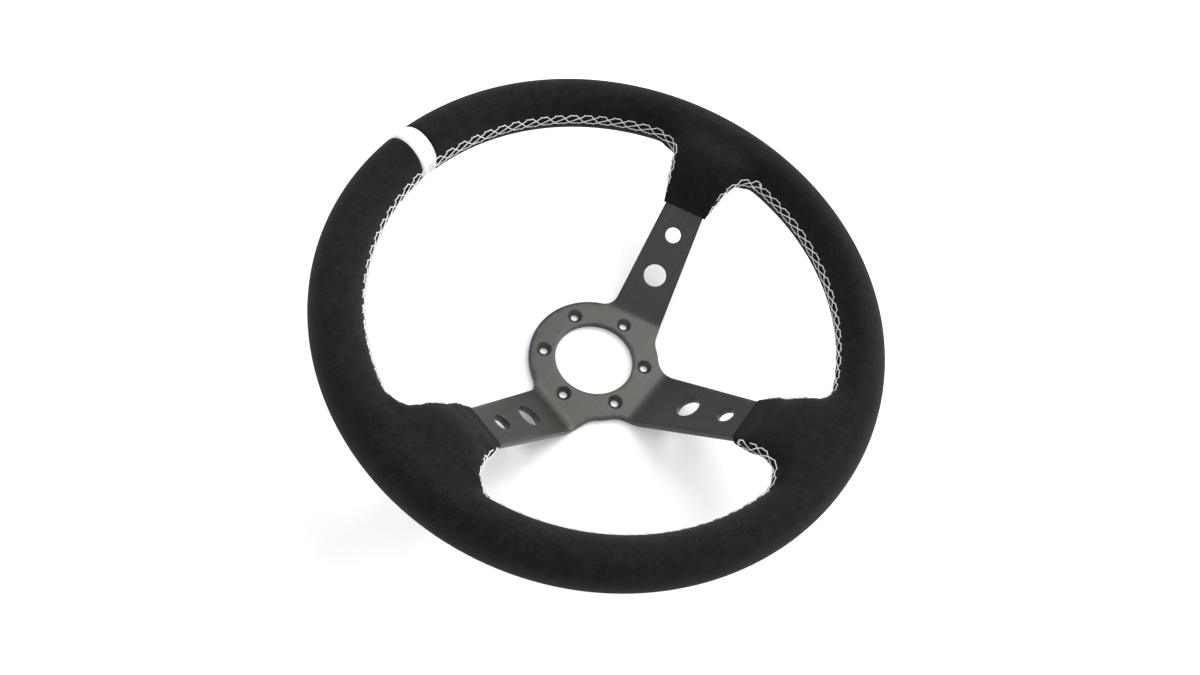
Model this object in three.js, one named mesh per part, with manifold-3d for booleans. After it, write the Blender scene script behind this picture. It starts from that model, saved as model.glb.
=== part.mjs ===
// Deep-dish steering wheel with three spokes, in millimetres, +Z up.
// The origin is the centre of the hub's mounting face, which lies in the plane z = 0.
// +Z runs along the steering axis towards the driver, +Y points to the 12 o'clock marker,
// and +X is the driver's right.
import * as THREE from 'three'
import { mergeVertices } from 'three/addons/utils/BufferGeometryUtils.js'
import Module from 'manifold-3d'

const wasm = await Module()
wasm.setup()

// ---- driving dimensions ---------------------------------------------------------------

const OUTER_DIAMETER = 350
const GRIP_WIDTH = 29.5 // grip section, measured radially
const GRIP_HEIGHT = 34.5 // grip section, measured along the axis
const RIM_CENTRE_Z = 79
const RIM_RADIUS = (OUTER_DIAMETER - GRIP_WIDTH) / 2
const RIM_INNER_RADIUS = RIM_RADIUS - GRIP_WIDTH / 2

const PLATE_THICKNESS = 4.5
const HUB_RADIUS = 45
const CENTRE_HOLE_RADIUS = 27
const BOLT_CIRCLE_RADIUS = 35
const BOLT_COUNT = 6
const BOLT_HOLE_RADIUS = 2.8
const COUNTERSINK_RADIUS = 5

const SPOKE_SLOPE = THREE.MathUtils.degToRad(42.5)
const BEND_DISTANCE = 48 // hub bend: middle surfaces of hub and spoke meet this far out
const BEND_RADIUS = 16 // bend radius of the middle surface
const SPOKE_APEX = new THREE.Vector2(0, -13.8) // the three spoke centre lines meet here
const SIDE_SPOKE_RISE = THREE.MathUtils.degToRad(13.5) // side spokes point this far above 3 and 9 o'clock
const SIDE_SPOKE = { rootHalfWidth: 18.5, endHalfWidth: 14.1, holeDistances: [30.2, 61.2] }
const BOTTOM_SPOKE = { rootHalfWidth: 22.2, endHalfWidth: 15.6, holeDistances: [33.4, 64.1] }
const UPPER_FILLET = 12
const LOWER_FILLET = 17
const TAPER_END = 107.5 // the spokes taper up to here, and the cover starts here
const TAB_END_RADIUS = 167
const BIG_HOLE_RADIUS = 8
const SMALL_HOLE_RADIUS = 5.5

const RING_INNER_RADIUS = 152
const RING_OUTER_RADIUS = 168
const RING_THICKNESS = 5
const RIVET_CIRCLE_RADIUS = 160
const RIVETS_PER_SPOKE = 3
const RIVET_PITCH = THREE.MathUtils.degToRad(3.3)
const RIVET_SHANK_RADIUS = 2
const RIVET_HOLE_RADIUS = 2.3
const RIVET_HEAD_RADIUS = 3.6
const RIVET_HEAD_HEIGHT = 1.8
const RIVET_SHOULDER = { radius: 0.92, height: 0.45 } // shares of the head's radius and height
const RIVET_CROWN_SHARE = 0.55 // the head's flat top, as a share of its radius

const COVER_THICKNESS = 1.2
const MARKER_WIDTH = 12.5
const SEAM_SLIT = 0.5
const TONGUE_LENGTH = 6 // unpadded end of the cover on each spoke
const THREAD_THICKNESS = 0.6
const THREAD_BAND = 7.2 // width of the cross-stitched band across the seam
const GAP = 0.3

// ---- values worked out from them ----------------------------------------------------------

const TAB_MIDDLE_Z = RIM_CENTRE_Z - (RING_THICKNESS + GAP) / 2 // middle surface of the spoke tabs
const RING_BOTTOM_Z = TAB_MIDDLE_Z + PLATE_THICKNESS / 2 + GAP
const TAB_BEND_DISTANCE = BEND_DISTANCE + (TAB_MIDDLE_Z - PLATE_THICKNESS / 2) / Math.tan(SPOKE_SLOPE)
const BEND_TANGENT = BEND_RADIUS * Math.tan(SPOKE_SLOPE / 2)
const PADDING_START = TAPER_END + TONGUE_LENGTH
// Where the front faces of hub and spoke would meet if the bend were sharp.
const FRONT_CORNER = BEND_DISTANCE - (PLATE_THICKNESS / 2) * Math.tan(SPOKE_SLOPE / 2)

// Helper sizes: blanks and cutting sheets that reach past what they cut.
const ORIGIN = new THREE.Vector2()
const HUB_SLAB_MARGIN = 0.5
const ARM_BLANK_HALF_WIDTH = 32
const CONE_OVERRUN = 0.5 // the countersinking cones run past the front face, at the same slope
const ARM_START = 35 // arms begin inside the hub, and are joined to it
const SEAM_SHEET_START = 100
const SEAM_SHEET_INNER = 138
const SEAM_SHEET_OUTER = 151
const SEAM_SHEET_HALF_WIDTH = 45

// Padded foot of each spoke, by distance from the axis.
const SEAM_EASE = 6
const FOOT_SPREAD = 0.28 // growth of a foot's half width per millimetre of its length
const FOOT_SPREAD_END = 130
const FOOT_SPREAD_AT_FILLET = 5 // about what the half width has grown by where the fillet starts
const FOOT_FILLET = 16 // plan radius between the foot's side and the rim's inner edge
const FOOT_FILLET_REACH = 0.96 * FOOT_FILLET // the fillet stops short of running square across
const SWELL_END = 142
const STUB_END = 150
const PADDING_STEP = 2.75
const PADDING_SWELL = 6.5
const PADDING_EASE = 1 // half the length over which the tongue steps up to the padding
const TONGUE_SQUARENESS = 10 // superellipse exponents of the sections
const PADDING_SQUARENESS = 2.6
const SLOPE_STEP = 0.1

// Mesh resolution.
const RIM_SEGMENTS = 48
const SECTION_POINTS = 12
const STUB_SIDES = 16
const STUB_STEPS = 6
const OUTLINE_STEPS = 6
const BEND_STEPS = 2
const HOLE_SEGMENTS = 16
const CENTRE_HOLE_SEGMENTS = 48
const RIVET_SEGMENTS = 10

// A spoke is described in its own frame: s runs outwards from the wheel's axis along the
// spoke, w runs across it to the left, and the centre line lies at w = offset.
const spokes = [
  makeSpoke('right', SIDE_SPOKE_RISE, SIDE_SPOKE, [LOWER_FILLET, UPPER_FILLET]),
  makeSpoke('left', Math.PI - SIDE_SPOKE_RISE, SIDE_SPOKE, [UPPER_FILLET, LOWER_FILLET]),
  makeSpoke('bottom', -Math.PI / 2, BOTTOM_SPOKE, [LOWER_FILLET, LOWER_FILLET])
]

// fillets holds the hub fillet radii at the spoke's right and left edge, looking outwards.
function makeSpoke(name, angle, sizes, fillets) {
  const offset = -Math.sin(angle) * SPOKE_APEX.x + Math.cos(angle) * SPOKE_APEX.y
  return { name, angle, offset, fillets, ...sizes }
}

// ---- solids ---------------------------------------------------------------------------

function solid(geometry) {
  geometry.deleteAttribute('normal')
  geometry.deleteAttribute('uv')
  const merged = mergeVertices(geometry, 1e-3)
  return new wasm.Manifold(new wasm.Mesh({
    numProp: 3,
    vertProperties: Float32Array.from(merged.attributes.position.array),
    triVerts: Uint32Array.from(merged.index.array)
  }))
}

function geometryOf(manifold) {
  const mesh = manifold.getMesh()
  const geometry = new THREE.BufferGeometry()
  geometry.setAttribute('position', new THREE.BufferAttribute(mesh.vertProperties, 3))
  geometry.setIndex(new THREE.BufferAttribute(mesh.triVerts, 1))
  geometry.computeVertexNormals()
  return geometry
}

function joined(solids) {
  return solids.reduce((sum, next) => sum.add(next))
}

// Turns a geometry made in a spoke's own frame (x = s, y = w, z = z) to the spoke's direction.
function turnedToSpoke(geometry, spoke) {
  return geometry.rotateZ(spoke.angle)
}

// A prism along Z above an outline in the XY plane.
function verticalPrism(shape, low, high) {
  const options = { depth: high - low, bevelEnabled: false, curveSegments: OUTLINE_STEPS }
  const geometry = new THREE.ExtrudeGeometry(shape, options)
  return geometry.translate(0, 0, low)
}

// A prism across a spoke whose outline lies in the spoke's (s, z) plane.
function crosswisePrism(shape, spoke, halfWidth) {
  const options = { depth: 2 * halfWidth, bevelEnabled: false, curveSegments: BEND_STEPS }
  const geometry = new THREE.ExtrudeGeometry(shape, options)
  geometry.rotateX(Math.PI / 2).translate(0, spoke.offset + halfWidth, 0)
  return turnedToSpoke(geometry, spoke)
}

function ringOfRevolution(profile) {
  return new THREE.LatheGeometry([...profile, profile[0]], RIM_SEGMENTS).rotateX(Math.PI / 2)
}

function rectangularRing(innerRadius, outerRadius, low, high) {
  // The lathe turns about Y, and the turn to +Z up maps height y to z.
  return ringOfRevolution([
    new THREE.Vector2(innerRadius, low),
    new THREE.Vector2(outerRadius, low),
    new THREE.Vector2(outerRadius, high),
    new THREE.Vector2(innerRadius, high)
  ])
}

function verticalCylinder(radius, low, high, x, y, segments = HOLE_SEGMENTS) {
  const geometry = new THREE.CylinderGeometry(radius, radius, high - low, segments)
  return geometry.rotateX(Math.PI / 2).translate(x, y, (low + high) / 2)
}

// ---- spoke plate ------------------------------------------------------------------------

// Side view of one bent arm: flat hub, hub bend, slope, rim bend, flat tab.
function armProfile(start, end, grow) {
  const half = PLATE_THICKNESS / 2 + grow
  const hubBend = new THREE.Vector2(BEND_DISTANCE - BEND_TANGENT, PLATE_THICKNESS / 2 + BEND_RADIUS)
  const rimBend = new THREE.Vector2(TAB_BEND_DISTANCE + BEND_TANGENT, TAB_MIDDLE_Z - BEND_RADIUS)
  const down = -Math.PI / 2
  const up = Math.PI / 2
  const shape = new THREE.Shape()
  shape.moveTo(start, PLATE_THICKNESS / 2 - half)
  shape.lineTo(hubBend.x, PLATE_THICKNESS / 2 - half)
  shape.absarc(hubBend.x, hubBend.y, BEND_RADIUS + half, down, down + SPOKE_SLOPE, false)
  shape.absarc(rimBend.x, rimBend.y, BEND_RADIUS - half, up + SPOKE_SLOPE, up, true)
  shape.lineTo(end, TAB_MIDDLE_Z - half)
  shape.lineTo(end, TAB_MIDDLE_Z + half)
  shape.absarc(rimBend.x, rimBend.y, BEND_RADIUS + half, up, up + SPOKE_SLOPE, false)
  shape.absarc(hubBend.x, hubBend.y, BEND_RADIUS - half, down + SPOKE_SLOPE, down, true)
  shape.lineTo(start, PLATE_THICKNESS / 2 + half)
  return shape
}

// One edge of an arm, seen from the driver's side. side is +1 for the left edge, -1 for the right.
function armEdge(spoke, side) {
  const slope = side * (spoke.endHalfWidth - spoke.rootHalfWidth) / (TAPER_END - BEND_DISTANCE)
  const along = new THREE.Vector2(1, slope).normalize()
  const outward = new THREE.Vector2(-slope, 1).multiplyScalar(side).normalize()
  const root = new THREE.Vector2(BEND_DISTANCE, spoke.offset + side * spoke.rootHalfWidth)
  const end = new THREE.Vector2(TAPER_END, spoke.offset + side * spoke.endHalfWidth)
  return { along, outward, root, end }
}

// The concave fillet between the round hub and one edge of an arm: it touches both.
function hubFillet(spoke, side) {
  const edge = armEdge(spoke, side)
  const radius = spoke.fillets[side < 0 ? 0 : 1]
  const offset = edge.outward.dot(edge.root) + radius
  const reach = Math.sqrt((HUB_RADIUS + radius) ** 2 - offset ** 2)
  const centre = edge.outward.clone().multiplyScalar(offset).addScaledVector(edge.along, reach)
  const onEdge = centre.clone().addScaledVector(edge.outward, -radius)
  const onHub = centre.clone().multiplyScalar(HUB_RADIUS / (HUB_RADIUS + radius))
  return { centre, onEdge, onHub, radius }
}

function inWheel(point, spoke) {
  return point.clone().rotateAround(ORIGIN, spoke.angle)
}

function angleFrom(centre, point) {
  return Math.atan2(point.y - centre.y, point.x - centre.x)
}

function filletArc(shape, spoke, fillet, from, to) {
  const centre = inWheel(fillet.centre, spoke)
  const startAngle = angleFrom(centre, inWheel(from, spoke))
  const endAngle = angleFrom(centre, inWheel(to, spoke))
  shape.absarc(centre.x, centre.y, fillet.radius, startAngle, endAngle, true)
}

function lineTo(shape, point) {
  shape.lineTo(point.x, point.y)
}

// The round hub's edge, anticlockwise from where the outline stands to a point on it.
function hubArcTo(shape, point) {
  const here = shape.currentPoint
  shape.absarc(0, 0, HUB_RADIUS, angleFrom(ORIGIN, here), angleFrom(ORIGIN, point), false)
}

// Outline of the whole plate seen along the axis, anticlockwise: right, left and bottom arm,
// joined by arcs of the round hub.
function plateOutline() {
  const shape = new THREE.Shape()
  const start = inWheel(hubFillet(spokes[0], -1).onHub, spokes[0])
  shape.moveTo(start.x, start.y)
  for (const spoke of spokes) {
    const entry = hubFillet(spoke, -1)
    const exit = hubFillet(spoke, 1)
    const rightEnd = armEdge(spoke, -1).end
    const leftEnd = armEdge(spoke, 1).end
    const tabRight = inWheel(onTabEnd(rightEnd.y), spoke)
    const tabLeft = inWheel(onTabEnd(leftEnd.y), spoke)
    if (spoke !== spokes[0]) {
      hubArcTo(shape, inWheel(entry.onHub, spoke))
    }
    filletArc(shape, spoke, entry, entry.onHub, entry.onEdge)
    lineTo(shape, inWheel(rightEnd, spoke))
    lineTo(shape, tabRight)
    shape.absarc(0, 0, TAB_END_RADIUS, angleFrom(ORIGIN, tabRight), angleFrom(ORIGIN, tabLeft), false)
    lineTo(shape, inWheel(leftEnd, spoke))
    filletArc(shape, spoke, exit, exit.onEdge, exit.onHub)
  }
  hubArcTo(shape, start)
  return shape
}

// The point of the tabs' round end at a given distance across the spoke.
function onTabEnd(across) {
  return new THREE.Vector2(Math.sqrt(TAB_END_RADIUS ** 2 - across ** 2), across)
}

// The flat middle of the plate, up to just inside the three bend lines.
function hubSlab() {
  const reach = BEND_DISTANCE - BEND_TANGENT - HUB_SLAB_MARGIN
  const sideX = (y) => (reach - Math.sin(SIDE_SPOKE_RISE) * y) / Math.cos(SIDE_SPOKE_RISE)
  const top = HUB_RADIUS + HUB_SLAB_MARGIN
  const shape = new THREE.Shape()
  shape.moveTo(sideX(-reach), -reach)
  shape.lineTo(sideX(top), top)
  shape.lineTo(-sideX(top), top)
  shape.lineTo(-sideX(-reach), -reach)
  return solid(verticalPrism(shape, 0, PLATE_THICKNESS))
}

function boltHoles() {
  const depth = COUNTERSINK_RADIUS - BOLT_HOLE_RADIUS
  const wide = COUNTERSINK_RADIUS + CONE_OVERRUN
  const high = depth + CONE_OVERRUN
  const cutters = []
  for (let i = 0; i < BOLT_COUNT; i++) {
    const angle = (i / BOLT_COUNT) * 2 * Math.PI
    const x = BOLT_CIRCLE_RADIUS * Math.cos(angle)
    const y = BOLT_CIRCLE_RADIUS * Math.sin(angle)
    const low = PLATE_THICKNESS - depth
    cutters.push(solid(verticalCylinder(BOLT_HOLE_RADIUS, -1, PLATE_THICKNESS, x, y)))
    const cone = new THREE.CylinderGeometry(wide, BOLT_HOLE_RADIUS, high, HOLE_SEGMENTS)
    cutters.push(solid(cone.rotateX(Math.PI / 2).translate(x, y, low + high / 2)))
  }
  return cutters
}

// Lightening holes are drilled square to the sloping part of a spoke.
function lighteningHoles(spoke) {
  const depth = 4 * PLATE_THICKNESS
  return spoke.holeDistances.map((distance, i) => {
    const radius = i === 0 ? BIG_HOLE_RADIUS : SMALL_HOLE_RADIUS
    const geometry = new THREE.CylinderGeometry(radius, radius, depth, HOLE_SEGMENTS)
    geometry.rotateX(Math.PI / 2).rotateY(-SPOKE_SLOPE)
    const s = FRONT_CORNER + distance * Math.cos(SPOKE_SLOPE)
    const z = PLATE_THICKNESS + distance * Math.sin(SPOKE_SLOPE)
    return solid(turnedToSpoke(geometry.translate(s, spoke.offset, z), spoke))
  })
}

// Where the rivets of a spoke stand: on the rivet circle, about the middle of the tab.
function rivetPlaces(spoke) {
  const middle = spoke.angle + Math.asin(spoke.offset / RIVET_CIRCLE_RADIUS)
  return Array.from({ length: RIVETS_PER_SPOKE }, (_, i) => {
    const angle = middle + (i - (RIVETS_PER_SPOKE - 1) / 2) * RIVET_PITCH
    return new THREE.Vector2(Math.cos(angle), Math.sin(angle)).multiplyScalar(RIVET_CIRCLE_RADIUS)
  })
}

function rivetCylinders(radius, low, high) {
  return spokes.flatMap(rivetPlaces).map(({ x, y }) =>
    solid(verticalCylinder(radius, low, high, x, y, RIVET_SEGMENTS)))
}

function spokePlate() {
  const arms = spokes.map((spoke) =>
    solid(crosswisePrism(armProfile(ARM_START, TAB_END_RADIUS + 1, 0), spoke, ARM_BLANK_HALF_WIDTH)))
  const blank = joined([hubSlab(), ...arms])
  const outlined = blank.intersect(solid(verticalPrism(plateOutline(), -1, RIM_CENTRE_Z + GRIP_HEIGHT)))
  const cutters = [
    solid(verticalCylinder(CENTRE_HOLE_RADIUS, -1, PLATE_THICKNESS + 1, 0, 0, CENTRE_HOLE_SEGMENTS)),
    ...boltHoles(),
    ...spokes.flatMap(lighteningHoles),
    ...rivetCylinders(RIVET_HOLE_RADIUS, TAB_MIDDLE_Z - PLATE_THICKNESS, TAB_MIDDLE_Z + PLATE_THICKNESS)
  ]
  return geometryOf(outlined.subtract(joined(cutters)))
}

// ---- rim core and rivets ----------------------------------------------------------------

function rimCoreRing() {
  const top = RING_BOTTOM_Z + RING_THICKNESS
  const ring = solid(rectangularRing(RING_INNER_RADIUS, RING_OUTER_RADIUS, RING_BOTTOM_Z, top))
  const holes = rivetCylinders(RIVET_HOLE_RADIUS, RING_BOTTOM_Z - 1, top + 1)
  return geometryOf(ring.subtract(joined(holes)))
}

// Solid rivet through tab and ring, with a low round head at each end.
function rivet() {
  const halfGrip = (PLATE_THICKNESS + GAP + RING_THICKNESS) / 2 + GAP
  const top = halfGrip + RIVET_HEAD_HEIGHT
  const shoulder = halfGrip + RIVET_HEAD_HEIGHT * RIVET_SHOULDER.height
  const half = [
    new THREE.Vector2(RIVET_SHANK_RADIUS, halfGrip),
    new THREE.Vector2(RIVET_HEAD_RADIUS, halfGrip),
    new THREE.Vector2(RIVET_HEAD_RADIUS * RIVET_SHOULDER.radius, shoulder),
    new THREE.Vector2(RIVET_HEAD_RADIUS * RIVET_CROWN_SHARE, top),
    new THREE.Vector2(0, top)
  ]
  const mirrored = half.map((point) => new THREE.Vector2(point.x, -point.y)).reverse()
  return new THREE.LatheGeometry([...mirrored, ...half], RIVET_SEGMENTS).rotateX(Math.PI / 2)
}

// ---- grip: foam, suede, marker and thread --------------------------------------------------

// The round of the rim: an elliptical section turned about the axis. grow offsets its surface.
function rimSolid(grow) {
  const profile = []
  for (let i = 0; i < SECTION_POINTS; i++) {
    const angle = (i / SECTION_POINTS) * 2 * Math.PI
    const radius = RIM_RADIUS + (GRIP_WIDTH / 2 + grow) * Math.cos(angle)
    profile.push(new THREE.Vector2(radius, RIM_CENTRE_Z + (GRIP_HEIGHT / 2 + grow) * Math.sin(angle)))
  }
  return solid(ringOfRevolution(profile))
}

// Height of the seam along a spoke: the plate's middle surface, eased into the rim's middle plane.
function seamHeight(s) {
  const rise = Math.tan(SPOKE_SLOPE)
  const corner = BEND_DISTANCE + (RIM_CENTRE_Z - PLATE_THICKNESS / 2) / rise
  if (s < corner - SEAM_EASE) {
    return PLATE_THICKNESS / 2 + (s - BEND_DISTANCE) * rise
  }
  const left = Math.max(corner + SEAM_EASE - s, 0)
  return RIM_CENTRE_Z - (rise * left ** 2) / (4 * SEAM_EASE)
}

function seamAngle(s) {
  return Math.atan((seamHeight(s + SLOPE_STEP) - seamHeight(s - SLOPE_STEP)) / (2 * SLOPE_STEP))
}

// Half width of a foot on one side: it spreads evenly, and a round fillet joins it to the rim's
// inner edge. side is +1 for the left side, -1 for the right.
function stubHalfWidth(spoke, s, side) {
  const plain = spoke.endHalfWidth + GAP + COVER_THICKNESS
  const across = side * spoke.offset + plain + FOOT_SPREAD_AT_FILLET + FOOT_FILLET
  const start = Math.sqrt((RIM_INNER_RADIUS - FOOT_FILLET) ** 2 - across ** 2)
  const along = THREE.MathUtils.clamp(s - start, 0, FOOT_FILLET_REACH)
  const spread = FOOT_SPREAD * THREE.MathUtils.clamp(s - TAPER_END, 0, FOOT_SPREAD_END - TAPER_END)
  return plain + spread + FOOT_FILLET - Math.sqrt(FOOT_FILLET ** 2 - along ** 2)
}

// From 0 on the flat tongue to 1 on the padding.
function paddingStep(s) {
  return THREE.MathUtils.smoothstep(s, PADDING_START - PADDING_EASE, PADDING_START + PADDING_EASE)
}

function stubHalfThickness(s) {
  const tongue = PLATE_THICKNESS / 2 + GAP + COVER_THICKNESS
  const swell = THREE.MathUtils.smoothstep(s, PADDING_START, SWELL_END)
  return tongue + PADDING_STEP * paddingStep(s) + PADDING_SWELL * swell
}

function stubSquareness(s) {
  return THREE.MathUtils.lerp(TONGUE_SQUARENESS, PADDING_SQUARENESS, paddingStep(s))
}

// Rings of a padded foot, by distance from the axis: close together at the padding's edge.
function stubStations(start) {
  const tongueEnd = PADDING_START - PADDING_EASE
  const tongue = start < tongueEnd ? [start, tongueEnd] : [start]
  const padded = Array.from({ length: STUB_STEPS + 1 }, (_, i) =>
    THREE.MathUtils.lerp(PADDING_START + PADDING_EASE, STUB_END, i / STUB_STEPS))
  return [...tongue, ...padded]
}

function signedPower(value, power) {
  // A root of a rounding error would open the seam, so values next to zero are zero.
  return Math.abs(value) < 1e-6 ? 0 : Math.sign(value) * Math.abs(value) ** power
}

function superellipse(angle, halfWidth, halfHeight, exponent) {
  return {
    x: halfWidth * signedPower(Math.cos(angle), 2 / exponent),
    y: halfHeight * signedPower(Math.sin(angle), 2 / exponent)
  }
}

// The padded foot of a spoke: a cylinder whose rings are moved onto the seam's line and
// reshaped from a flat tongue round the plate into a wide round foot on the rim.
function stubSolid(spoke, start, grow) {
  const stations = stubStations(start)
  const steps = stations.length - 1
  const geometry = new THREE.CylinderGeometry(1, 1, 1, STUB_SIDES, steps)
  const position = geometry.attributes.position
  for (let i = 0; i < position.count; i++) {
    const s = stations[Math.round((position.getY(i) + 0.5) * steps)]
    const radius = Math.hypot(position.getX(i), position.getZ(i))
    const angle = Math.atan2(position.getZ(i), position.getX(i))
    const side = Math.cos(angle) > 0 ? -1 : 1
    const halfWidth = stubHalfWidth(spoke, s, side) + grow
    const halfThickness = stubHalfThickness(s) + grow
    const section = superellipse(angle, halfWidth, halfThickness, stubSquareness(s))
    const slope = seamAngle(s)
    position.setXYZ(
      i,
      s - radius * section.y * Math.sin(slope),
      spoke.offset - radius * section.x,
      seamHeight(s) + radius * section.y * Math.cos(slope)
    )
  }
  return solid(turnedToSpoke(geometry, spoke))
}

function gripSolid(start, grow) {
  return joined([rimSolid(grow), ...spokes.map((spoke) => stubSolid(spoke, start, grow))])
}

// Room for the spoke plate, a gap larger than the plate all round.
function plateRoom() {
  return joined(spokes.map((spoke) => {
    const profile = armProfile(ARM_START, TAB_END_RADIUS + GAP, GAP)
    return solid(crosswisePrism(profile, spoke, spoke.endHalfWidth + GAP))
  }))
}

// A sheet that follows the seam: flat inside the rim, bent along the middle of each spoke.
function seamSheet(thickness) {
  const half = thickness / 2
  const ring = rectangularRing(SEAM_SHEET_INNER, SEAM_SHEET_OUTER, RIM_CENTRE_Z - half, RIM_CENTRE_Z + half)
  const strips = spokes.map((spoke) => {
    const stations = [SEAM_SHEET_START, ...stubStations(PADDING_START)]
    const upper = stations.map((s) => new THREE.Vector2(s, seamHeight(s) + half))
    const lower = stations.map((s) => new THREE.Vector2(s, seamHeight(s) - half)).reverse()
    return solid(crosswisePrism(new THREE.Shape([...lower, ...upper]), spoke, SEAM_SHEET_HALF_WIDTH))
  })
  return joined([solid(ring), ...strips])
}

function markerBlock(width) {
  const geometry = new THREE.BoxGeometry(width, 2 * GRIP_WIDTH, 2 * GRIP_HEIGHT)
  return solid(geometry.translate(0, RIM_RADIUS, RIM_CENTRE_Z))
}

function foamGrip() {
  const ringRoom = rectangularRing(
    RING_INNER_RADIUS - GAP,
    RING_OUTER_RADIUS + GAP,
    RING_BOTTOM_Z - GAP,
    RING_BOTTOM_Z + RING_THICKNESS + GAP
  )
  const headRoom = RIVET_HEAD_HEIGHT + 2 * GAP
  const rivetLow = TAB_MIDDLE_Z - PLATE_THICKNESS / 2 - headRoom
  const rivetHigh = RING_BOTTOM_Z + RING_THICKNESS + headRoom
  const rooms = joined([
    solid(ringRoom),
    plateRoom(),
    ...rivetCylinders(RIVET_HEAD_RADIUS + GAP, rivetLow, rivetHigh)
  ])
  return geometryOf(gripSolid(PADDING_START + GAP, -COVER_THICKNESS - GAP).subtract(rooms))
}

const gripSkin = gripSolid(TAPER_END, 0)
  .subtract(gripSolid(PADDING_START, -COVER_THICKNESS))
  .subtract(plateRoom())
  .subtract(seamSheet(SEAM_SLIT))

function suedeCover() {
  return geometryOf(gripSkin.subtract(markerBlock(MARKER_WIDTH + 2 * GAP)))
}

function centreMarker() {
  return geometryOf(gripSkin.intersect(markerBlock(MARKER_WIDTH)))
}

// The space between two neighbouring spokes, as a vertical prism that starts where the three
// spoke centre lines meet.
function openingSector(from, to) {
  const shape = new THREE.Shape()
  shape.moveTo(SPOKE_APEX.x, SPOKE_APEX.y)
  lineTo(shape, new THREE.Vector2(OUTER_DIAMETER, 0).rotateAround(ORIGIN, from).add(SPOKE_APEX))
  shape.absarc(SPOKE_APEX.x, SPOKE_APEX.y, OUTER_DIAMETER, from, to, false)
  return solid(verticalPrism(shape, 0, OUTER_DIAMETER))
}

// The cross-stitching round one opening lies on the cover as a flat band along the seam.
function threadRun(sector) {
  const outer = gripSolid(TAPER_END + 1, GAP + THREAD_THICKNESS)
  const inner = gripSolid(TAPER_END - 1, GAP)
  return geometryOf(outer.subtract(inner).intersect(seamSheet(THREAD_BAND)).intersect(sector))
}

// ---- materials and assembly ------------------------------------------------------------------

const materials = {
  plate: new THREE.MeshStandardMaterial({ color: 0x3b3d3a, roughness: 0.42, metalness: 0.85 }),
  core: new THREE.MeshStandardMaterial({ color: 0xa9adb0, roughness: 0.45, metalness: 1 }),
  rivet: new THREE.MeshStandardMaterial({ color: 0xc3c6c8, roughness: 0.35, metalness: 1 }),
  foam: new THREE.MeshStandardMaterial({ color: 0x2b2b2c, roughness: 0.95, metalness: 0 }),
  suede: new THREE.MeshStandardMaterial({ color: 0x141416, roughness: 0.96, metalness: 0 }),
  marker: new THREE.MeshStandardMaterial({ color: 0xf2f2ee, roughness: 0.6, metalness: 0 }),
  thread: new THREE.MeshStandardMaterial({ color: 0xf4f4f0, roughness: 0.8, metalness: 0 })
}

const wheel = new THREE.Group()

function place(name, geometry, material, position = new THREE.Vector3()) {
  const mesh = new THREE.Mesh(geometry, material)
  mesh.name = name
  mesh.position.copy(position)
  wheel.add(mesh)
}

place('spoke_plate', spokePlate(), materials.plate)
place('rim_core_ring', rimCoreRing(), materials.core)
place('foam_grip', foamGrip(), materials.foam)
place('suede_cover', suedeCover(), materials.suede)
place('centre_marker', centreMarker(), materials.marker)

const rivetMiddleZ = RING_BOTTOM_Z + (RING_THICKNESS - GAP - PLATE_THICKNESS) / 2
for (const spoke of spokes) {
  rivetPlaces(spoke).forEach(({ x, y }, i) => {
    const position = new THREE.Vector3(x, y, rivetMiddleZ)
    place(`rivet_${spoke.name}_${i + 1}`, rivet(), materials.rivet, position)
  })
}

const [right, left, bottom] = spokes.map((spoke) => spoke.angle)
const openings = {
  top: openingSector(right, left),
  lower_left: openingSector(left, bottom + 2 * Math.PI),
  lower_right: openingSector(bottom, right)
}
for (const [name, sector] of Object.entries(openings)) {
  place(`seam_thread_${name}`, threadRun(sector), materials.thread)
}

export default wheel
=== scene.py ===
"""Looks for the deep-dish steering wheel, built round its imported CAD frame.

Blender works in metres. The shapes here are worked out in millimetres with numpy, in the row's
frame (origin at the hub's mounting face, +Z to the driver, +Y to 12 o'clock), and are scaled
when a mesh is made.
"""

import math

import bmesh
import bpy
import numpy as np
from mathutils import Matrix, Vector, geometry
from mathutils.kdtree import KDTree


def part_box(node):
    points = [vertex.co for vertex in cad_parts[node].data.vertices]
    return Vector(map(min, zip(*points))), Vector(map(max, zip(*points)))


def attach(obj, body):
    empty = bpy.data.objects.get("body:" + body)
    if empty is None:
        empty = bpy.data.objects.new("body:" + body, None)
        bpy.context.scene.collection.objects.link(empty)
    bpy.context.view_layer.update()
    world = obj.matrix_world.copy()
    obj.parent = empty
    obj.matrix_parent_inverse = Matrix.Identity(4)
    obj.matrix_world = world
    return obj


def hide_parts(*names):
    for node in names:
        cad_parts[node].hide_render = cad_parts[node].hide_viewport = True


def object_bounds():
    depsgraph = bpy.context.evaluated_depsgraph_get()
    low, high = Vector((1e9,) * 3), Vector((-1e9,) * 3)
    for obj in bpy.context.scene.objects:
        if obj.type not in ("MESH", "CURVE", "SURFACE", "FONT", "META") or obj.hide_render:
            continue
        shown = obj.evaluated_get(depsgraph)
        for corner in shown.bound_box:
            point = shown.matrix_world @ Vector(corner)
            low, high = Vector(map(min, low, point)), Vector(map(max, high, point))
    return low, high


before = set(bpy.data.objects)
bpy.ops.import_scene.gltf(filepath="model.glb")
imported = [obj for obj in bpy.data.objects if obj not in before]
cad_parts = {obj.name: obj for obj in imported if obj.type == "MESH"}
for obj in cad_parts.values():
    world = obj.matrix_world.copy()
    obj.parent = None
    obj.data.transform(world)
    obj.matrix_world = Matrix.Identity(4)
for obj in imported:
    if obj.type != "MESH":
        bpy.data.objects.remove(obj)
cad_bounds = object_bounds()
MM = 0.001

# ---- sizes, in millimetres ------------------------------------------------------------

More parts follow.
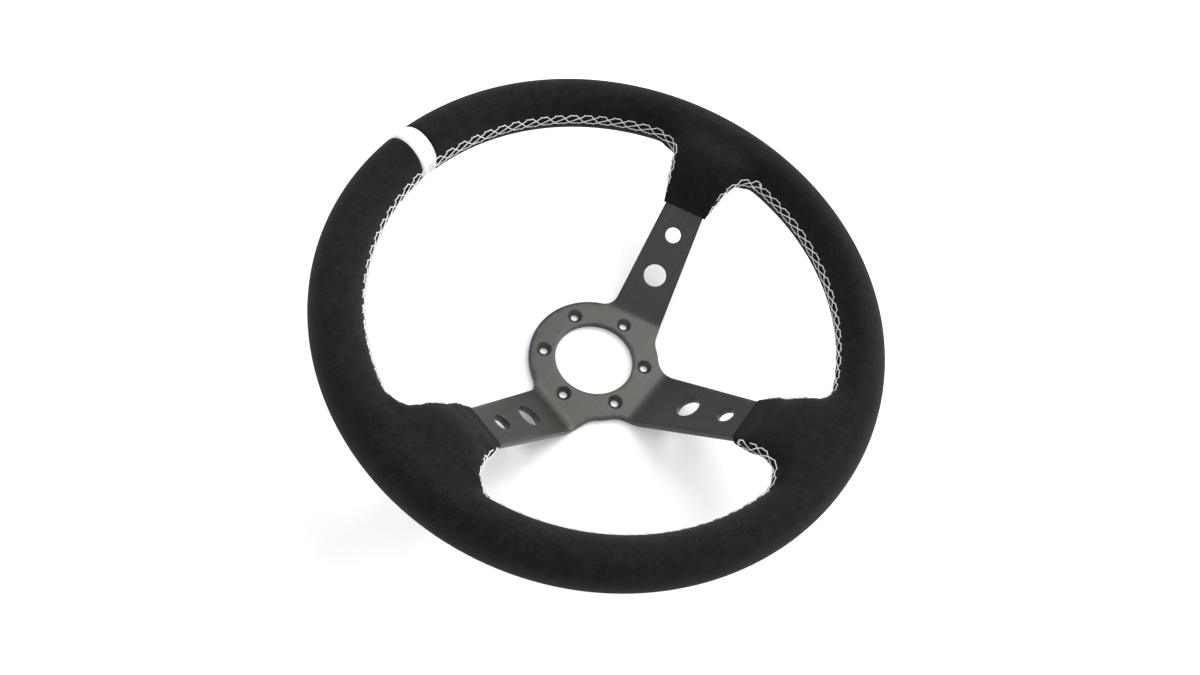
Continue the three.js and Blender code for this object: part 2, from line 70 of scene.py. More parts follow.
marker_low, marker_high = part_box("centre_marker")
cover_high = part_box("suede_cover")[1]
plate_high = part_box("spoke_plate")[1]

OUTER_RADIUS = cover_high.x / MM
GRIP_HALF_WIDTH = 14.75
GRIP_HALF_HEIGHT = (marker_high.z - marker_low.z) / 2 / MM
RIM_RADIUS = OUTER_RADIUS - GRIP_HALF_WIDTH
RIM_Z = (marker_high.z + marker_low.z) / 2 / MM
MARKER_HALF_WIDTH = (marker_high.x - marker_low.x) / 2 / MM

PLATE = 4.5
HUB_RADIUS = 45
CENTRE_HOLE_RADIUS = 27
BOLT_CIRCLE_RADIUS = 35
BOLT_HOLE_RADIUS = 2.8
COUNTERSINK_RADIUS = 5
SLOPE = math.radians(42.5)
BEND = 48
BEND_RADIUS = 16
APEX_Y = -13.8
SIDE_RISE = math.radians(13.5)
TAPER_END = 107.5
TAB_END_RADIUS = 167
TAB_Z = plate_high.z / MM - PLATE / 2
BIG_HOLE_RADIUS = 8
SMALL_HOLE_RADIUS = 5.5

SUEDE = 1.2
GAP = 0.3
TONGUE = 6
PADDING = TAPER_END + TONGUE
SEAM_EASE = 6
SEAM_START = TAPER_END + 3
SEAM_SHEET_START = TAPER_END - 5
LIFTED_SHEET_START = TAPER_END - 10
FOOT_SPREAD = 0.28
FOOT_SPREAD_AT_FILLET = 5
FOOT_SPREAD_END = 130
FOOT_FILLET = 16
FOOT_REACH = 0.97 * FOOT_FILLET
SWELL_END = 142
FOOT_END = 152
FOOT_SPAN = 39
FOOT_STEP = 3.0
FOOT_STEP_START = TAPER_END + 0.5
FOOT_STEP_END = TAPER_END + 12
FOOT_SWELL = 6.25
FOOT_SQUARENESS = 9
FOOT_ROUNDING = 6.2
ROUNDING_START = TAPER_END + 2
ROUNDING_END = TAPER_END + 16
SEAM_LIFT = 2.4
SEAM_LIFT_FADE_START = 128
SEAM_LIFT_FADE_END = 142
LEAST_STEEPNESS = 0.5

BEND_TANGENT = BEND_RADIUS * math.tan(SLOPE / 2)
TAB_BEND = BEND + (TAB_Z - PLATE / 2) / math.tan(SLOPE)
FRONT_CORNER = BEND - PLATE / 2 * math.tan(SLOPE / 2)


class Spoke:
    """A spoke's own frame: s runs outwards from the axis, w across it, to the left."""

    def __init__(self, name, angle, root, end, holes, fillets):
        self.name, self.angle, self.root, self.end = name, angle, root, end
        self.holes, self.fillets = holes, fillets
        self.offset = math.cos(angle) * APEX_Y

    def to_wheel(self, s, w):
        """Plan points of the wheel from s and from w, measured from the wheel's axis."""
        c, n = math.cos(self.angle), math.sin(self.angle)
        return np.stack([c * s - n * w, n * s + c * w], -1)

    def from_wheel(self, x, y):
        c, n = math.cos(self.angle), math.sin(self.angle)
        return c * x + n * y, -n * x + c * y


UPPER_FILLET, LOWER_FILLET = 12, 17
SPOKES = [
    Spoke("right", SIDE_RISE, 18.5, 14.1, (30.2, 61.2), (LOWER_FILLET, UPPER_FILLET)),
    Spoke("left", math.pi - SIDE_RISE, 18.5, 14.1, (30.2, 61.2), (UPPER_FILLET, LOWER_FILLET)),
    Spoke("bottom", -math.pi / 2, 22.2, 15.6, (33.4, 64.1), (LOWER_FILLET, LOWER_FILLET)),
]


# ---- the grip's outer surface as a distance field -----------------------------------------


def smoothstep(x, low, high):
    t = np.clip((x - low) / (high - low), 0, 1)
    return t * t * (3 - 2 * t)


def seam_height(s):
    """Height of the seam along a spoke: up the slope, then eased into the rim's middle plane."""
    rise = math.tan(SLOPE)
    corner = BEND + (RIM_Z - PLATE / 2) / rise
    left = np.maximum(corner + SEAM_EASE - s, 0)
    eased = RIM_Z - rise * left**2 / (4 * SEAM_EASE)
    return np.where(s < corner - SEAM_EASE, PLATE / 2 + (s - BEND) * rise, eased)


def seam_lift(s):
    """The seam runs a little to the driver's side of the middle of the feet's edges."""
    return SEAM_LIFT * (1 - smoothstep(s, SEAM_LIFT_FADE_START, SEAM_LIFT_FADE_END))


def seam_slope(s):
    return (seam_height(s + 0.1) - seam_height(s - 0.1)) / 0.2


def foot_half_width(spoke, s, side):
    """Half width of a foot on its left (+1) or right (-1): it spreads, then a fillet meets the rim."""
    plain = spoke.end + GAP + SUEDE
    across = side * spoke.offset + plain + FOOT_SPREAD_AT_FILLET + FOOT_FILLET
    start = np.sqrt((RIM_RADIUS - GRIP_HALF_WIDTH - FOOT_FILLET) ** 2 - across**2)
    along = np.clip(s - start, 0, FOOT_REACH)
    spread = FOOT_SPREAD * np.clip(s - TAPER_END, 0, FOOT_SPREAD_END - TAPER_END)
    return plain + spread + FOOT_FILLET - np.sqrt(FOOT_FILLET**2 - along**2)


def foot_half_height(s):
    tongue = PLATE / 2 + GAP + SUEDE
    step = FOOT_STEP * smoothstep(s, FOOT_STEP_START, FOOT_STEP_END)
    return tongue + step + FOOT_SWELL * smoothstep(s, PADDING, SWELL_END)


def rim_field(p):
    rho = np.hypot(p[:, 0], p[:, 1]) - RIM_RADIUS
    z = p[:, 2] - RIM_Z
    k = np.sqrt((rho / GRIP_HALF_WIDTH) ** 2 + (z / GRIP_HALF_HEIGHT) ** 2)
    steep = np.sqrt((rho / GRIP_HALF_WIDTH**2) ** 2 + (z / GRIP_HALF_HEIGHT**2) ** 2)
    steep = steep / np.maximum(k, 1e-6)
    return (k - 1) / np.maximum(steep, LEAST_STEEPNESS / GRIP_HALF_HEIGHT)


def foot_place(spoke, p):
    """Distance along the spoke of the nearest seam point, and the place across and above it."""
    s, w = spoke.from_wheel(p[:, 0], p[:, 1])
    near = s
    for _ in range(2):
        slope = seam_slope(near)
        off = (s - near) + slope * (p[:, 2] - seam_height(near))
        near = near + off / (1 + slope**2)
    turn = np.arctan(seam_slope(near))
    h = (p[:, 2] - seam_height(near)) * np.cos(turn) - (s - near) * np.sin(turn)
    return near, w - spoke.offset, h


def foot_field(spoke, p):
    s, w, h = foot_place(spoke, p)
    width = foot_half_width(spoke, s, np.where(w < 0, -1, 1))
    height = foot_half_height(s)
    n = FOOT_SQUARENESS - FOOT_ROUNDING * smoothstep(s, ROUNDING_START, ROUNDING_END)
    a, b = np.abs(w / width) + 1e-6, np.abs(h / height) + 1e-6
    k = (a**n + b**n) ** (1 / n)
    steep = k ** (1 - n) * np.sqrt((a ** (n - 1) / width) ** 2 + (b ** (n - 1) / height) ** 2)
    side = (k - 1) / np.maximum(steep, LEAST_STEEPNESS / np.maximum(width, height))
    ends = np.maximum(TAPER_END - s, s - FOOT_END)
    return np.maximum(side, ends)


BLEND = 9.0
LONGEST_MOVE = 2.0


def grip_field(p):
    """Roughly the distance in mm from the grip's outer surface, positive outside."""
    field = rim_field(p)
    for spoke in SPOKES:
        foot = foot_field(spoke, p)
        near = np.maximum(BLEND - np.abs(field - foot), 0) / BLEND
        field = np.minimum(field, foot) - near**2 * BLEND / 4
    return field


def grip_gradient(p, step=0.05):
    g = np.zeros_like(p)
    for axis in range(3):
        d = np.zeros(3)
        d[axis] = step
        g[:, axis] = (grip_field(p + d) - grip_field(p - d)) / (2 * step)
    return g


def onto_grip(p, height=0.0, rounds=4):
    """Moves points along the field's gradient onto the grip's surface, or to a height above it."""
    p = p.copy()
    for _ in range(rounds):
        g = grip_gradient(p)
        size = np.maximum((g * g).sum(1), 0.05)
        move = ((grip_field(p) - height) / size)[:, None] * g
        reach = np.linalg.norm(move, axis=1, keepdims=True)
        p -= move * np.minimum(1, LONGEST_MOVE / np.maximum(reach, 1e-9))
    return p


def unit(v):
    return v / np.maximum(np.linalg.norm(v, axis=-1, keepdims=True), 1e-12)


def seam_offset(p):
    """Signed distance of points from the sheet in which the seam lies, and whether they can meet it."""
    offset = p[:, 2] - RIM_Z
    meets = np.hypot(p[:, 0], p[:, 1]) < RIM_RADIUS
    for spoke in SPOKES:
        s, w, h = foot_place(spoke, p)
        here = (s < SWELL_END) & (np.abs(w) < FOOT_SPAN) & (s > SEAM_SHEET_START)
        offset = np.where(here, h - seam_lift(s), offset)
    return offset, meets


# ---- mesh helpers -----------------------------------------------------------------------


def mesh_object(name, points, faces):
    mesh = bpy.data.meshes.new(name)
    mesh.from_pydata((np.asarray(points) * MM).tolist(), [], [list(map(int, f)) for f in faces])
    mesh.update()
    obj = bpy.data.objects.new(name, mesh)
    bpy.context.scene.collection.objects.link(obj)
    return obj


def points_of(mesh):
    co = np.zeros(len(mesh.vertices) * 3)
    mesh.vertices.foreach_get("co", co)
    return co.reshape(-1, 3) / MM


def set_points(mesh, points):
    mesh.vertices.foreach_set("co", (points * MM).ravel())
    mesh.update()


def apply_modifiers(obj):
    graph = bpy.context.evaluated_depsgraph_get()
    mesh = bpy.data.meshes.new_from_object(obj.evaluated_get(graph))
    obj.modifiers.clear()
    old = obj.data
    obj.data = mesh
    bpy.data.meshes.remove(old)


def fix_normals(obj):
    bm = bmesh.new()
    bm.from_mesh(obj.data)
    bmesh.ops.recalc_face_normals(bm, faces=bm.faces)
    bm.to_mesh(obj.data)
    bm.free()


def shade_smooth(obj, angle=None):
    mesh = obj.data
    mesh.polygons.foreach_set("use_smooth", [True] * len(mesh.polygons))
    if angle is not None:
        mesh.set_sharp_from_angle(angle=math.radians(angle))


def finish_piece(obj, slot, material, *nodes):
    obj.data.materials.clear()
    obj.data.materials.append(material)
    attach(obj, "root")
    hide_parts(*nodes)


def grid_faces(rows, columns, close_rows=False):
    """Quads of a grid of points numbered row by row, each row a closed ring."""
    faces = []
    for i in range(rows if close_rows else rows - 1):
        for j in range(columns):
            a, b = i * columns + j, i * columns + (j + 1) % columns
            c, d = ((i + 1) % rows) * columns + (j + 1) % columns, ((i + 1) % rows) * columns + j
            faces.append((a, b, c, d))
    return faces


# ---- suede cover ---------------------------------------------------------------------------

RELAX_ROUNDS = 6
RIM_TOP = 100
MARKER_SURROUND = 20
MOUTH_MARGIN = 4
MOUTH_HALF_HEIGHT = 8
MOUTH_START = 90
MOUTH_END = TAPER_END + 0.35
SEAM_BAND = 4.6
GROOVE_DEPTH = 0.95
GROOVE_WIDTH = 0.8
DIMPLE_DEPTH = 0.38
DIMPLE_WIDTH = 1.1
DIMPLE_REACH = 7
ROLL_DEPTH = 0.75
ROLL_WIDTH = 0.9
ROLL_REACH = 4
COVER_CREASE = 55


def rough_rim():
    around, section = 240, 32
    points = []
    for i in range(around):
        a = 2 * math.pi * i / around
        for j in range(section):
            b = 2 * math.pi * j / section
            r = RIM_RADIUS + GRIP_HALF_WIDTH * math.cos(b)
            points.append((r * math.cos(a), r * math.sin(a), RIM_Z + GRIP_HALF_HEIGHT * math.sin(b)))
    return points, [f[::-1] for f in grid_faces(around, section, close_rows=True)]


def rough_foot(spoke):
    stations = np.linspace(TAPER_END, FOOT_END, 30)
    sides = 32
    points = []
    for s in stations:
        turn = math.atan(float(seam_slope(np.array(s))))
        height = float(foot_half_height(s))
        for j in range(sides):
            b = 2 * math.pi * j / sides
            c, n = math.cos(b), math.sin(b)
            across = float(foot_half_width(spoke, s, math.copysign(1, c))) * math.copysign(abs(c) ** 0.5, c)
            up = height * math.copysign(abs(n) ** 0.5, n)
            xy = spoke.to_wheel(s - up * math.sin(turn), spoke.offset + across)
            points.append((*xy, float(seam_height(s)) + up * math.cos(turn)))
    faces = grid_faces(len(stations), sides)
    last = (len(stations) - 1) * sides
    faces.append(tuple(range(sides - 1, -1, -1)))
    faces.append(tuple(range(last, last + sides)))
    return points, faces


def relax(mesh, points, rounds):
    """Evens out the mesh along the surface: neighbour averages, put back on the grip."""
    edges = np.zeros(len(mesh.edges) * 2, np.int64)
    mesh.edges.foreach_get("vertices", edges)
    edges = edges.reshape(-1, 2)
    count = np.bincount(edges.ravel(), minlength=len(points))[:, None]
    for _ in range(rounds):
        total = np.zeros_like(points)
        np.add.at(total, edges[:, 0], points[edges[:, 1]])
        np.add.at(total, edges[:, 1], points[edges[:, 0]])
        points = onto_grip(points * 0.5 + total / count * 0.5, rounds=1)
    return points


VOXEL = 1.4


def grip_surface():
    """The grip's outer surface as an even mesh of quads, open at the three spoke ends."""
    points, faces = rough_rim()
    for spoke in SPOKES:
        more, more_faces = rough_foot(spoke)
        faces += [tuple(i + len(points) for i in f) for f in more_faces]
        points += more
    obj = mesh_object("suede_wrap", points, faces)
    remesh = obj.modifiers.new("remesh", "REMESH")
    remesh.mode = "VOXEL"
    remesh.voxel_size = VOXEL * MM
    apply_modifiers(obj)
    mesh = obj.data
    even = onto_grip(points_of(mesh))
    even = relax(mesh, even, RELAX_ROUNDS)
    even = onto_grip(even, rounds=3)
    set_points(mesh, even)
    return obj


def refine_where(obj, wanted):
    """Cuts each edge in two where wanted, a function of points, says so."""
    bm = bmesh.new()
    bm.from_mesh(obj.data)
    middles = np.array([f.calc_center_median() for f in bm.faces]) / MM
    near = wanted(middles)
    faces = [f for f, yes in zip(bm.faces, near) if yes]
    edges = list({e for f in faces for e in f.edges})
    bmesh.ops.subdivide_edges(bm, edges=edges, cuts=1, use_grid_fill=True)
    bm.to_mesh(obj.data)
    bm.free()


def near_marker(place):
    return place.y > RIM_TOP * MM and abs(place.x) < MARKER_SURROUND * MM


def cut_open(obj):
    """Opens the cover where the spokes come out and where the marker is let in."""
    bm = bmesh.new()
    bm.from_mesh(obj.data)
    reach = MARKER_HALF_WIDTH + GAP
    for x in (-reach, reach):
        faces = [f for f in bm.faces if all(near_marker(v.co) for v in f.verts)]
        geom = list({part for f in faces for part in (*f.verts, *f.edges)}) + faces
        bmesh.ops.bisect_plane(bm, geom=geom, dist=1e-6, plane_co=(x * MM, 0, 0), plane_no=(x, 0, 0))
    middles = np.array([f.calc_center_median() for f in bm.faces]) / MM
    gone = (middles[:, 1] > RIM_TOP) & (np.abs(middles[:, 0]) < reach)
    for spoke in SPOKES:
        s, w, h = foot_place(spoke, middles)
        mouth = (np.abs(w) < spoke.end + MOUTH_MARGIN) & (np.abs(h) < MOUTH_HALF_HEIGHT)
        gone |= mouth & (s > MOUTH_START) & (s < MOUTH_END)
    unwanted = [f for f, yes in zip(bm.faces, gone) if yes]
    bmesh.ops.delete(bm, geom=unwanted, context="FACES")
    loose = [v for v in bm.verts if not v.link_faces]
    bmesh.ops.delete(bm, geom=loose, context="VERTS")
    bm.to_mesh(obj.data)
    bm.free()


def beside_seam(p):
    offset, meets = seam_offset(p)
    return (np.abs(offset) < SEAM_BAND) & meets


def seam_dip(p, holes):
    """How far the stitching pulls the surface in: a groove along the seam and a dimple per hole."""
    offset, meets = seam_offset(p)
    dip = np.where(meets, GROOVE_DEPTH * np.exp(-((offset / GROOVE_WIDTH) ** 2)), 0)
    pull = np.zeros(len(p))
    close = np.nonzero(meets & (np.abs(offset) < DIMPLE_REACH))[0]
    for i in close:
        pull[i] = holes.find(p[i])[2]
    dip[close] += DIMPLE_DEPTH * np.exp(-((pull[close] / DIMPLE_WIDTH) ** 2))
    return dip


def edge_roll(p):
    """How far the suede turns down beside the marker."""
    beside = np.abs(p[:, 0]) - MARKER_HALF_WIDTH
    depth = ROLL_DEPTH * np.exp(-((np.maximum(beside, 0) / ROLL_WIDTH) ** 2))
    return np.where((p[:, 1] > RIM_TOP) & (beside < ROLL_REACH), depth, 0)


# ---- the seam's line and its stitches -----------------------------------------------------------

SEAM_RAYS = 2400
SEAM_STEP = 0.25
RAY_START = 15.0
RAY_ROUNDS = 70
RAY_SHARE = 0.6


def on_sheet(xy):
    """Lifts plan points onto the sheet in which the seam lies."""
    z = np.full(len(xy), RIM_Z)
    for spoke in SPOKES:
        s, w = spoke.from_wheel(xy[:, 0], xy[:, 1])
        here = (s > LIFTED_SHEET_START) & (s < SWELL_END) & (np.abs(w - spoke.offset) < FOOT_SPAN)
        z = np.where(here, seam_height(s) + seam_lift(s) / math.cos(SLOPE), z)
    return np.column_stack([xy, z])


class Seam:
    """The line along which two edges of the cover meet, followed clockwise round one opening."""

    def __init__(self, centre, first, second):
        centre = np.array(centre, float)
        start, end = (self.bearing(centre, *where) for where in (first, second))
        if end < start:
            end += 2 * math.pi
        line = self.trace(centre, np.linspace(start, end, SEAM_RAYS))[::-1]
        steps = np.linalg.norm(np.diff(line, axis=0), axis=1)
        length = np.concatenate([[0], np.cumsum(steps)])
        self.length = length[-1]
        even = np.arange(0, self.length, SEAM_STEP)
        self.points = np.stack([np.interp(even, length, line[:, k]) for k in range(3)], 1)
        self.even = even
        along = unit(np.gradient(self.points, axis=0))
        up = np.cross(unit(grip_gradient(self.points)), along)
        self.up = unit(up * np.sign(up[:, 2:3]))

    @staticmethod
    def bearing(centre, spoke, side):
        s = SEAM_START
        point = spoke.to_wheel(s, spoke.offset + side * float(foot_half_width(spoke, s, side)))
        return math.atan2(point[1] - centre[1], point[0] - centre[0])

    @staticmethod
    def trace(centre, bearings):
        """Walks rays outwards from the opening's middle until they meet the grip."""
        rays = np.stack([np.cos(bearings), np.sin(bearings)], 1)
        reach = np.full(len(bearings), RAY_START)
        for _ in range(RAY_ROUNDS):
            reach += RAY_SHARE * grip_field(on_sheet(centre + rays * reach[:, None]))
        return on_sheet(centre + rays * reach[:, None])

    def place(self, u, v):
        """A point of the grip's surface u mm along the seam and v mm above it, and the normal there."""
        shape = u.shape
        u, v = u.ravel(), v.ravel()
        point = np.stack([np.interp(u, self.even, self.points[:, k]) for k in range(3)], 1)
        up = np.stack([np.interp(u, self.even, self.up[:, k]) for k in range(3)], 1)
        point = onto_grip(point + unit(up) * v[:, None], rounds=3)
        normal = unit(grip_gradient(point))
        return point.reshape(*shape, 3), normal.reshape(*shape, 3)


STITCH_PITCH = 10.1
STITCH_REACH = 3.5
THREAD_RADIUS = 0.3
THREAD_SIDES = 9
THREAD_STEP = 0.35
THREAD_RISE = 1.1
THREAD_SINK = 0.6
THREAD_WIDE = 1.08
THREAD_DEEP = 0.95
PLIES = 3
PLY_DEPTH = 0.13
PLY_TWIST = 4.2
STITCH_STRAY = 0.12

# Where the holes of one repeat lie, in pitches, and how high the thread passes, in mm.
UPPER_START = 0.03
UPPER_END = 0.47
LOWER_START = 0.17
LOWER_END = 0.56
ROW_HEIGHT = 0.24
UNDER_HEIGHT = 0.3
OVER_HEIGHT = 0.86


def stitch_pattern(seam):
    """Each stitch as (u, v) of its two holes, in mm, and the height at which it crosses the others."""
    count = int(round(seam.length / STITCH_PITCH))
    pitch = seam.length / (count + 0.2)
    up, down = STITCH_REACH, -STITCH_REACH
    stitches = []
    for i in range(count):
        stitches.append((i + UPPER_START, up, i + UPPER_END, up, ROW_HEIGHT))
        stitches.append((i + LOWER_START, down, i + LOWER_END, down, ROW_HEIGHT))
        if i + (1 + LOWER_START) <= count:
            stitches.append((i + UPPER_END, up, i + (1 + LOWER_START), down, UNDER_HEIGHT))
        if i + 2 <= count:
            stitches.append((i + LOWER_END, down, i + (2 + UPPER_START), up, OVER_HEIGHT))
    return [(a * pitch, v, b * pitch, w, h) for a, v, b, w, h in stitches]


def tack_pattern(seam):
    """Tied-off ends: a small knot where the seam starts, a tail where it ends, as stitches in mm."""
    end = seam.length
    knot = [(0.3, -1.9, 1.5, 0.9, 0.5), (0.2, 0.7, 1.7, -1.5, 0.95), (0.9, -2.3, 0.8, 1.2, 1.3)]
    tail = [(end - 1.9, -2.6, end - 0.5, -0.8, 0.4), (end - 1.5, 2.4, end - 0.6, 0.6, 0.7)]
    return knot + tail


def thread_tubes(seam, stitches, rng):
    """A closed tube for each stitch, its lobes twisted like plies, its ends sunk into the cover."""
    runs = []
    for a, v, b, w, height in stitches:
        span = math.hypot(b - a, w - v)
        t = np.linspace(0, 1, max(int(span / THREAD_STEP), 8) + 1)
        stray = rng.uniform(-STITCH_STRAY, STITCH_STRAY, 4)
        u = a + stray[0] + (b + stray[1] - a - stray[0]) * t
        x = v + stray[2] + (w + stray[3] - v - stray[2]) * t
        rise = np.clip(np.minimum(t, 1 - t) * span / THREAD_RISE, 0, 1)
        lift = (THREAD_SINK + height) * np.sqrt(rise * (2 - rise)) - THREAD_SINK
        runs.append((np.clip(u, 0, seam.length), x, lift, t * span, rng.uniform(0, 2 * math.pi)))
    place, normal = seam.place(*(np.concatenate([run[k] for run in runs]) for k in (0, 1)))
    around = np.arange(THREAD_SIDES) * 2 * math.pi / THREAD_SIDES
    points, faces, first = [], [], 0
    for u, x, lift, length, twist in runs:
        here = slice(first, first + len(u))
        path = place[here] + normal[here] * lift[:, None]
        along = unit(np.gradient(path, axis=0))
        side = unit(np.cross(along, normal[here]))
        over = np.cross(side, along)
        lobes = 1 + PLY_DEPTH * np.cos(PLIES * around[None, :] + twist + length[:, None] * PLY_TWIST)
        wide = (THREAD_WIDE * np.cos(around) * lobes)[..., None] * side[:, None, :]
        deep = (THREAD_DEEP * np.sin(around) * lobes)[..., None] * over[:, None, :]
        base = first * THREAD_SIDES
        points.append((path[:, None, :] + THREAD_RADIUS * (wide + deep)).reshape(-1, 3))
        faces += [tuple(base + k for k in f) for f in grid_faces(len(u), THREAD_SIDES)]
        faces.append(tuple(base + k for k in range(THREAD_SIDES - 1, -1, -1)))
        last = base + (len(u) - 1) * THREAD_SIDES
        faces.append(tuple(last + k for k in range(THREAD_SIDES)))
        first += len(u)
    return np.concatenate(points), faces


def stitch_holes(seam, stitches):
    u = np.array([e for a, v, b, w, h in stitches for e in (a, b)])
    v = np.array([e for a, v, b, w, h in stitches for e in (v, w)])
    return seam.place(np.clip(u, 0, seam.length), v)[0]


# ---- plate --------------------------------------------------------------------------------

PLATE_BEVEL = 0.35
PLATE_CREASE = 28
BOLT_COUNT = 6
COUNTERSINK_LIP = 0.2
COUNTERSINK_LIP_DEPTH = 0.12
BACK_CHAMFER = 0.25
CENTRE_HOLE_SIDES = 150
BOLT_HOLE_SIDES = 36
SPOKE_HOLE_SIDES = 56
STRIP_HALF_WIDTH = 40
NOWHERE = -1e9
ARC_STEP = 1.0
TAB_STEP = 3
LEAST_STEP = 0.05
GRID_STEP = 3.0
HUB_GRID_REACH = 48
SPOKE_GRID_REACH = 33
BEND_LINES = 11
SLOPE_LINE_STEP = 2.2
CLEAR_OF_EDGE = 1.1


def slope_at(s):
    """The plate's angle a distance s out along a spoke."""
    hub_turn = np.arcsin(np.clip((s - BEND + BEND_TANGENT) / BEND_RADIUS, 0, math.sin(SLOPE)))
    rim_turn = np.arcsin(np.clip((TAB_BEND + BEND_TANGENT - s) / BEND_RADIUS, 0, math.sin(SLOPE)))
    return np.minimum(hub_turn, rim_turn)


def mid_height(s):
    """Height of the plate's middle surface."""
    at_hub = PLATE / 2 + BEND_RADIUS * (1 - np.cos(slope_at(s)))
    on_slope = PLATE / 2 + (s - BEND) * math.tan(SLOPE)
    at_rim = TAB_Z - BEND_RADIUS * (1 - np.cos(slope_at(s)))
    half_bend = BEND_RADIUS * math.sin(SLOPE) - BEND_TANGENT
    return np.where(s < BEND + half_bend, at_hub, np.where(s > TAB_BEND - half_bend, at_rim, on_slope))


def on_plate(xy, level):
    """Lifts plan points onto the bent plate: level 1 is the driver's face, -1 the back face."""
    xy = np.asarray(xy, float).reshape(-1, 2)
    s_best = np.full(len(xy), NOWHERE)
    direction = np.zeros((len(xy), 2))
    for spoke in SPOKES:
        s, w = spoke.from_wheel(xy[:, 0], xy[:, 1])
        s = np.where(np.abs(w - spoke.offset) < STRIP_HALF_WIDTH, s, NOWHERE)
        better = s > s_best
        s_best = np.where(better, s, s_best)
        direction[better] = (math.cos(spoke.angle), math.sin(spoke.angle))
    s = np.maximum(s_best, 0)
    turn = slope_at(s)
    lift = level * PLATE / 2
    plan = xy - direction * (np.sin(turn) * lift)[:, None]
    return np.column_stack([plan, mid_height(s) + np.cos(turn) * lift])


def arm_edge(spoke, side):
    """An edge of a spoke, in its own frame: unit vectors along it and outwards, and its outer end."""
    slope = side * (spoke.end - spoke.root) / (TAPER_END - BEND)
    along = unit(np.array([1.0, slope]))
    outward = side * unit(np.array([-slope, 1.0]))
    root = np.array([BEND, spoke.offset + side * spoke.root])
    end = np.array([TAPER_END, spoke.offset + side * spoke.end])
    return along, outward, root, end


def hub_fillet(spoke, side):
    along, outward, root, end = arm_edge(spoke, side)
    radius = spoke.fillets[0 if side < 0 else 1]
    offset = outward @ root + radius
    reach = math.sqrt((HUB_RADIUS + radius) ** 2 - offset**2)
    centre = outward * offset + along * reach
    return centre, centre - outward * radius, centre * HUB_RADIUS / (HUB_RADIUS + radius), radius


def arc(centre, radius, start, end, clockwise):
    a = math.atan2(start[1] - centre[1], start[0] - centre[0])
    b = math.atan2(end[1] - centre[1], end[0] - centre[0])
    if clockwise and b > a:
        b -= 2 * math.pi
    if not clockwise and b < a:
        b += 2 * math.pi
    count = max(int(abs(b - a) * radius / ARC_STEP), 4)
    t = np.linspace(a, b, count + 1)
    return np.column_stack([centre[0] + radius * np.cos(t), centre[1] + radius * np.sin(t)])


def straight(start, end, step=1.2):
    count = max(int(np.linalg.norm(np.subtract(end, start)) / step), 1)
    t = np.linspace(0, 1, count + 1)[:, None]
    return np.asarray(start) * (1 - t) + np.asarray(end) * t


def plate_outline():
    """The plate's plan outline, anticlockwise, a point about every millimetre."""
    parts = []
    previous = None
    for spoke in SPOKES + [SPOKES[0]]:
        def turned(p):
            return spoke.to_wheel(np.asarray(p)[..., 0], np.asarray(p)[..., 1])
        centre, on_edge, on_hub, radius = hub_fillet(spoke, -1)
        if previous is not None:
            parts.append(arc((0, 0), HUB_RADIUS, previous, turned(on_hub), False))
        if len(parts) and spoke is SPOKES[0]:
            break
        parts.append(turned(arc(centre, radius, on_hub, on_edge, True)))
        end = arm_edge(spoke, -1)[3]
        tab = np.array([math.sqrt(TAB_END_RADIUS**2 - end[1] ** 2), end[1]])
        parts.append(turned(straight(on_edge, end)))
        parts.append(turned(straight(end, tab, TAB_STEP)))
        centre, on_edge, on_hub, radius = hub_fillet(spoke, 1)
        end = arm_edge(spoke, 1)[3]
        far = np.array([math.sqrt(TAB_END_RADIUS**2 - end[1] ** 2), end[1]])
        parts.append(turned(arc((0, 0), TAB_END_RADIUS, tab, far, False)))
        parts.append(turned(straight(far, end, TAB_STEP)))
        parts.append(turned(straight(end, on_edge)))
        parts.append(turned(arc(centre, radius, on_edge, on_hub, True)))
        previous = turned(on_hub)
    line = np.concatenate(parts)
    gaps = np.linalg.norm(line - np.roll(line, 1, axis=0), axis=1)
    return line[gaps > LEAST_STEP]


def inset(loop, distance):
    ahead = unit(np.roll(loop, -1, axis=0) - np.roll(loop, 1, axis=0))
    return loop + np.column_stack([-ahead[:, 1], ahead[:, 0]]) * distance


def circle(centre, radius, count, squash=1.0, angle=0.0):
    t = np.arange(count) * 2 * math.pi / count
    x, y = radius * squash * np.cos(t), radius * np.sin(t)
    c, n = math.cos(angle), math.sin(angle)
    return np.column_stack([centre[0] + c * x - n * y, centre[1] + n * x + c * y])


